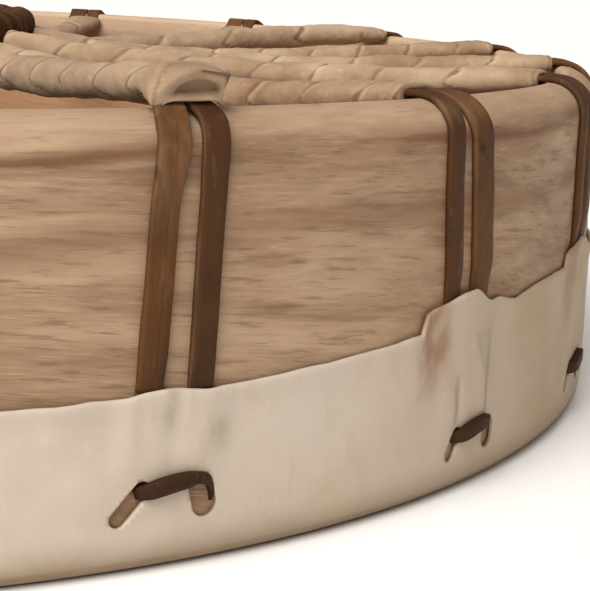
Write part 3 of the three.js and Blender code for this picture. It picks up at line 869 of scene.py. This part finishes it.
def lace(pair):
    """One lace: a strand down each side, and the stitch between them."""
    tight, slack = max(hand(pair), 0), max(-hand(pair), 0)
    worn = 0.25 if pair in WORN_PAIRS else 0.0
    # Each run's knots, tone, share of dark streaks, and how far its streaks are from the stitch's
    runs = [
        (strand_knots(pair, -1), 0.54 + 0.2 * hand(pair) + worn, 0.22, -20),
        (strand_knots(pair, 1), 0.46 - 0.16 * hand(pair) + worn, 0.12, 20),
        (stitch_knots(pair), 0.1, 0.3, 0),
    ]
    points, faces = [], []
    values = {"tone": [], "streak": [], "across": [], "edge": [], "fold": []}
    cut_side = (np.abs(STRAP_ACROSS) > 0.95) & (np.abs(STRAP_ABOVE) < 0.8)
    for knots, tone, streak, row in runs:
        rings, from_middle, path = strap_rings(pair, knots, 0.8)
        up, tilt = path[:, 2][:, None], path[:, 5][:, None]
        start = sum(len(p) for p in points)
        points.append(rings.reshape(-1, 3))
        faces.extend([[start + i for i in face] for face in capped_faces(*from_middle.shape)])
        one = np.ones_like(from_middle)
        darker = 0.26 * tight * smooth(66, 36, up) if row < 0 else 0
        rubbed = 0.4 * slack * bell(tilt, 45, 24) if row else 0
        if row < 0:
            rubbed = rubbed + 0.4 * tight * smooth(52, 68, up)
        raw = cut_side * (0.22 if row > 0 else 0.0)
        values["tone"].append((tone - darker) * one)
        values["streak"].append(streak * one)
        values["across"].append(from_middle + row + 7 * pair)
        values["edge"].append(np.maximum(raw, rubbed * one))
        values["fold"].append(fold_marks(pair, path, from_middle) if row else 0 * one)
    name = "lace_%02d" % (pair + 1)
    thing = make_piece(name + "_fine", np.concatenate(points), faces, LACE, [name])
    for key, parts in values.items():
        vertex_values(thing, key, np.concatenate([p.ravel() for p in parts]))
    return thing


def fold_marks(pair, path, from_middle):
    """Painted shade of a diagonal fold near the top of a tight pair's left strand and a slack pair's right
    one.
    """
    side = -1 if hand(pair) > 0 else 1
    fold_across = -0.5 if side < 0 else 7.0
    slope = 1.67
    across, up = path[:, 1][:, None], path[:, 2][:, None]
    if np.sign(across[len(across) // 2]) != side:
        return 0 * from_middle
    x = across - from_middle
    away = (up - FOLD_HEIGHT) - slope * (x - fold_across)
    near = bell(up, FOLD_HEIGHT, 3.0) * bell(x, fold_across, 1.6)
    return bell(away, 0, 1.1) * near * abs(hand(pair))


# The wound rolls and the grip ring


def clear_of_hoop(out, up, air):
    """Moves points that would be inside the hoop's back edge out to its surface."""
    outside = out > ROUNDING_CENTRE
    centre_up = np.where(outside, ROUNDING_FOOT, BACK_HEIGHT - INNER_ROUNDING)
    reach = np.where(outside, BACK_ROUNDING, INNER_ROUNDING) + air
    gap_out = out - ROUNDING_CENTRE
    gap_up = np.maximum(up - centre_up, 0)
    far = np.maximum(np.hypot(gap_out, gap_up), 1e-6)
    grow = np.maximum(reach / far, 1.0)
    over = (up > BACK_HEIGHT - 14) & (out > HOOP_INSIDE - 1)
    new_up = centre_up + gap_up * grow
    return np.where(over & (gap_up > 0), ROUNDING_CENTRE + gap_out * grow, out), np.where(over, new_up, up)


def roll_line(pair, spacing):
    """A roll's middle line from its mouth to the grip ring: distance out, height and tilt."""
    mouth = mouth_radius(pair)
    turn = rim_turn(mouth, ROLL_ON_WOOD)
    a = np.radians(np.linspace(turn, 0, 40)) if turn > 0 else np.array([])
    bend = BACK_ROUNDING + ROLL_ON_WOOD
    hood_out = ROUNDING_CENTRE + bend * np.sin(a)
    level_out = np.linspace(min(mouth, ROUNDING_CENTRE), RING_RADIUS + RING_TUBE + 0.6, 300)[1:]
    out = np.concatenate([hood_out, level_out])
    up = roll_height(pair, out)
    tilt = np.concatenate([np.degrees(a), np.zeros(len(out) - len(a))])
    line = np.stack([out, up, tilt], axis=-1)
    length = np.concatenate([[0], np.cumsum(np.hypot(np.diff(out), np.diff(up)))])
    even = np.arange(0, length[-1], spacing)
    return even, [np.interp(even, length, line[:, i]) for i in range(3)]


def wound_surface(pair, along, around):
    """How far each turn of the strip stands out, where its edges are, and painted shade at each step.

    The strip's turns advance towards the grip ring, and each one's edge lies on the next.
    """
    pitch = TURN_PITCHES[pair % len(TURN_PITCHES)]
    start = TURN_STARTS[pair % len(TURN_STARTS)]
    wander = 0.14 * noise_grid(along / 17, pair * 4.7, 0.0, 31)
    phase = along / pitch + start + wander - 0.8 * (around + 90) / 360 + 0.8 * smooth(180, 270, around)
    turn = np.floor(phase)
    wavy = 0.07 * noise_grid(around / 35, turn * 3.7, pair * 1.9, 32)
    part = np.clip(phase - turn + wavy, 0, 1)
    swell = np.sin(math.pi * (0.15 + 0.6 * part)) - 0.45
    thick = 0.45 + 0.4 * noise_grid(turn * 5.1, 0.0, pair * 2.9, 33) + 0.03 * (pitch - 13)
    rise = thick * swell * (1 - smooth(0.93, 1.0, part)) + 0.2
    lump = 0.5 * noise_grid(along / 8, np.cos(np.radians(around)) * 1.4, pair + 0.5, 34)
    crumple = 0.16 * noise_grid(along / 2.2, around / 28, pair * 1.7, 36)
    edge = smooth(0.84, 0.93, part) * (1 - smooth(0.94, 0.97, part))
    # Painted shade in the crevice at each turn's step
    tuck_shade = (1 - smooth(0.0, 0.07, part)) + smooth(0.97, 0.99, part)
    return rise + lump + crumple, edge, np.clip(tuck_shade, 0, 1)


def roll_collar(pair, along, around):
    """The strip's outer layer at a roll's mouth: how far it stands out, its edge, and painted shade below
    its edge.
    """
    ragged = noise_grid(around / 50, pair * 2.1, 0.0, 35)
    if covers_edge(pair):
        start = 0.3 + 2.8 * smooth(205, 105, around) * smooth(35, 95, around) + 0.5 * ragged
        layer = 0.5 * smooth(-20, 20, around) * (1 - smooth(195, 215, around))
        slant, steep = along / 4.0 + around / 30, along / 9 - around / 45
        crease = 0.5 * np.abs(noise_grid(slant, steep, pair * 1.3, 37))
    else:
        start = 0.5 + 0.8 * ragged
        layer = 0.3 + 0.0 * around
        crease = 0.25 * np.abs(noise_grid(along / 3.0, around / 40, pair * 1.3, 37))
    over = smooth(0, 0.8, along - start)
    edge = over * (1 - smooth(0.6, 1.3, along - start))
    # Painted shade just under the outer layer's edge
    tuck_shade = (1 - over) * smooth(-0.9, -0.1, along - start) * smooth(0, 40, around)
    return layer * over - crease * smooth(0, 2, along), edge, tuck_shade


def mouth_rings(pair, around, rim_across, rim_above):
    """Rings from inside a roll's mouth out to its rim: across, height, distance forward, edge and painted
    shade.

    A mouth over the hoop's edge opens in a low arch over a lip that lies on the laces.
    """
    a = np.radians(around)
    if not covers_edge(pair):
        # Their last column is painted shade inside the open mouth
        return [
            (0.5 * rim_across, 0.3 * rim_above, -0.5 + 0 * a, 0 * a, 0.9 + 0 * a),
            (0.8 * rim_across, 0.66 * rim_above, 0.3 + 0 * a, 0 * a, 0.5 + 0 * a),
        ]
    arch_across = 1.7 + 4.0 * np.cos(a)
    arch_above = 3.7 - ROLL_ON_WOOD + np.where(np.sin(a) > 0, 2.3, 0.3) * np.sin(a)
    below = np.clip(-np.sin(a), 0, 1)
    crack = smooth(12, 25, around) * (1 - smooth(75, 95, around))
    rings = [(1.7 + 2.4 * np.cos(a), 0.5 + 0.5 * arch_above, -1.5 + 0 * a, 0 * a, 0.35 + 0 * a)]
    # The last column is painted shade in the mouth's hollow and along its crack
    for share, forward, edge, tuck_shade in (
        (-0.06, -1.0 + 0 * a, 0.3 * below, 0.5 - 0.4 * below),
        (0.0, -0.2 + 0.3 * below, 0.5 * below, 0.5 - 0.5 * below),
        (0.3, 0.3 + 0.6 * below, 0.9 * below, 0 * a),
        (0.62, 0.35 + 0.55 * below - 0.2 * crack, 0.6 * below, 0.2 * crack),
        (0.84, 0.3 + 0.45 * below - 0.9 * crack, 0.2 * below, crack),
    ):
        across = arch_across + share * (rim_across - arch_across)
        above = arch_above + share * (rim_above - arch_above)
        rings.append((across, above, forward, edge, tuck_shade))
    return rings


def roll_section(pair, along, around):
    """A roll's smooth form: distances across, above its middle line and forward along it."""
    a = np.radians(around)
    flare = np.exp(-along / MOUTH_TAPER)
    half_wide = (ROLL_WIDTH + (MOUTH_WIDTH - ROLL_WIDTH) * flare) / 2 - 0.45
    half_tall = (ROLL_HEIGHT + (MOUTH_HEIGHT - ROLL_HEIGHT) * flare) / 2 - 0.4
    boxy = 2 / (2 + 0.8 * flare)
    across = half_wide * np.sign(np.cos(a)) * np.abs(np.cos(a)) ** boxy
    above = half_tall * np.sign(np.sin(a)) * np.abs(np.sin(a)) ** boxy
    if not covers_edge(pair):
        return across, above, 0 * above
    hood = 1 - smooth(0.5, 9.0, along)
    mirror = -1 if pair % 2 else 1
    outline = around if mirror > 0 else (270 - around) % 360 - 90
    hood_across = mirror * np.interp(outline, HOOD_OUTLINE[:, 0], HOOD_OUTLINE[:, 1])
    hood_above = np.interp(outline, HOOD_OUTLINE[:, 0], HOOD_OUTLINE[:, 2]) - ROLL_ON_WOOD
    forward = 0.4 * np.clip(-np.sin(a), 0, 1) * (1 - smooth(0, 3, along))
    return across + hood * (hood_across - across), above + hood * (hood_above - above), forward


def roll(pair):
    """A hide strip wound round a pair of laces."""
    along, (out, up, tilt) = roll_line(pair, 0.42)
    along = along[:, None]
    around = (-90 + 360 * np.arange(ROLL_SIDES) / ROLL_SIDES)[None, :]
    wound = wound_surface(pair, along, around)
    collar = roll_collar(pair, along, around)
    share = smooth(6.5, 10.5, along)
    rise, edge, tuck_shade = [end + share * (turns - end) for turns, end in zip(wound, collar)]
    across, above, forward = roll_section(pair, along, around)
    across = across + rise * np.cos(np.radians(around))
    above = above + rise * np.sin(np.radians(around))
    rings = mouth_rings(pair, around, across[:1], above[:1])
    columns = zip(*rings, (across, above, forward, edge, tuck_shade))
    across, above, forward, edge, tuck_shade = [np.concatenate(column) for column in columns]
    at = np.concatenate([np.zeros(len(rings), dtype=int), np.arange(len(out))])
    lean = np.radians(tilt[at])[:, None]
    spot_out = out[at][:, None] + above * np.sin(lean) + forward * np.cos(lean)
    spot_up = up[at][:, None] + above * np.cos(lean) - forward * np.sin(lean)
    spot_out, spot_up = clear_of_hoop(spot_out, spot_up, 0.08)
    b = math.radians(strap_angle(pair))
    x = spot_out * math.sin(b) + across * math.cos(b)
    y = across * math.sin(b) - spot_out * math.cos(b)
    points = np.stack([x, y, spot_up], axis=-1)
    name = "wound_roll_%02d" % (pair + 1)
    faces = capped_faces(len(points), ROLL_SIDES)
    thing = make_piece(name + "_fine", points, faces, BUCKSKIN, [name])
    browner = np.maximum(bell(out[at], 152, 6.0), 0.6 * smooth(138, 152, out[at]))
    brown = browner[:, None] * max(-hand(pair) - 0.4, 0) * 1.5 + 0 * around
    vertex_values(thing, "edge", edge)
    # Painted shade in the crevices and mouths
    vertex_values(thing, "tuck_shade", tuck_shade)
    vertex_values(thing, "brown", np.clip(brown, 0, 1))
    return thing


def grip_ring():
    """The ring, bound in dark lace side by side all the way round."""
    turns, sides = 95, 20
    steps = turns * 8
    angle = (360 * np.arange(steps) / steps)[:, None]
    tube = np.radians(np.arange(sides) * 360 / sides)[None, :]
    wind = (angle / 360 * turns + tube / (2 * math.pi)) % 1.0
    swell = np.sqrt(np.clip(1 - ((wind - 0.5) / 0.5) ** 2, 0, 1))
    lump = 0.25 * np.cos(np.radians(angle * LACE_PAIRS))
    radius = RING_TUBE - 0.75 + 0.8 * swell + lump
    points = place(angle, RING_RADIUS + radius * np.cos(tube), RING_HEIGHT + radius * np.sin(tube))
    faces = grid_faces(steps, sides, True, True)
    thing = make_piece("grip_ring_fine", points, faces, LACE, ["grip_ring"])
    number = np.floor(angle / 360 * turns + tube / (2 * math.pi))
    tone = 0.35 + 0.2 * np.sin(number * 2.7)
    vertex_values(thing, "tone", tone)
    vertex_values(thing, "across", wind * 3 + number * 3)
    for plain in ("edge", "fold", "streak"):
        vertex_values(thing, plain, 0 * tone)
    return thing


hoop()
skin()
for pair_number in range(LACE_PAIRS):
    lace(pair_number)
    roll(pair_number)
grip_ring()


# The floor, the light and the camera


def floor():
    """A wide plain floor, a hair below the drum so that the two don't share a face."""
    reach = 30000
    hair = 0.2
    corners = [(-reach, -reach, 0), (reach, -reach, 0), (reach, reach, 0), (-reach, reach, 0)]
    mesh = new_mesh("floor", corners, [(0, 1, 2, 3)])
    mesh.materials.append(floor_material())
    ground = add_object("floor", mesh)
    ground.location.z = -hair * MM


def key_light(angle, height, strength, spread, tint):
    """A wide soft light from far off, at an angle round the drum and a height, in degrees."""
    lamp = bpy.data.lights.new("key", "SUN")
    lamp.energy = strength
    lamp.angle = math.radians(spread)
    lamp.color = tint
    thing = add_object("key", lamp)
    a = math.radians(angle)
    h = math.radians(height)
    towards = Vector((math.sin(a) * math.cos(h), -math.cos(a) * math.cos(h), math.sin(h)))
    thing.location = 2 * towards
    thing.rotation_euler = (-towards).to_track_quat("-Z", "Y").to_euler()


def sky(strength, tint):
    """Even light from all round."""
    world = bpy.data.worlds.new("studio")
    world.use_nodes = True
    ground = world.node_tree.nodes["Background"]
    ground.inputs["Color"].default_value = (*tint, 1.0)
    ground.inputs["Strength"].default_value = strength
    bpy.context.scene.world = world


# The camera of the photograph, in metres and radians, and its focal length and height in the photo's pixels
CAMERA_TURN = math.radians(-16.4)
CAMERA_AWAY = 0.447348
CAMERA_HEIGHT = 0.10085
CAMERA_AIM = 0.28818
CAMERA_PITCH = 0.20294
CAMERA_ROLL = 0.04367
FOCAL_PIXELS = 1671.953
PHOTO_HEIGHT = 591
SENSOR_MM = 36.0


def camera():
    """Stands where the photograph's camera stood, in the drum's frame."""
    away_x, away_y = CAMERA_AWAY * math.sin(CAMERA_TURN), -CAMERA_AWAY * math.cos(CAMERA_TURN)
    spot = Vector((away_x, away_y, CAMERA_HEIGHT))
    heading = CAMERA_AIM - CAMERA_TURN
    flat = math.cos(CAMERA_PITCH)
    forward = Vector((math.sin(heading) * flat, math.cos(heading) * flat, -math.sin(CAMERA_PITCH)))
    level = Vector((math.cos(heading), -math.sin(heading), 0))
    above = level.cross(forward)
    right = level * math.cos(CAMERA_ROLL) + above * math.sin(CAMERA_ROLL)
    upright = above * math.cos(CAMERA_ROLL) - level * math.sin(CAMERA_ROLL)
    data = bpy.data.cameras.new("camera")
    data.sensor_width = SENSOR_MM
    data.lens = SENSOR_MM * FOCAL_PIXELS / PHOTO_HEIGHT
    thing = add_object("camera", data)
    turned = Matrix((right, upright, -forward)).transposed().to_4x4()
    thing.matrix_world = Matrix.Translation(spot) @ turned
    data.clip_start = 0.01
    data.clip_end = 100.0
    bpy.context.scene.camera = thing


floor()
sky(strength=0.28, tint=(1.0, 0.97, 0.93))
key_light(angle=-60, height=45, strength=3.75, spread=50, tint=(1.0, 0.99, 0.975))
camera()
bpy.context.scene.view_settings.view_transform = "Standard"
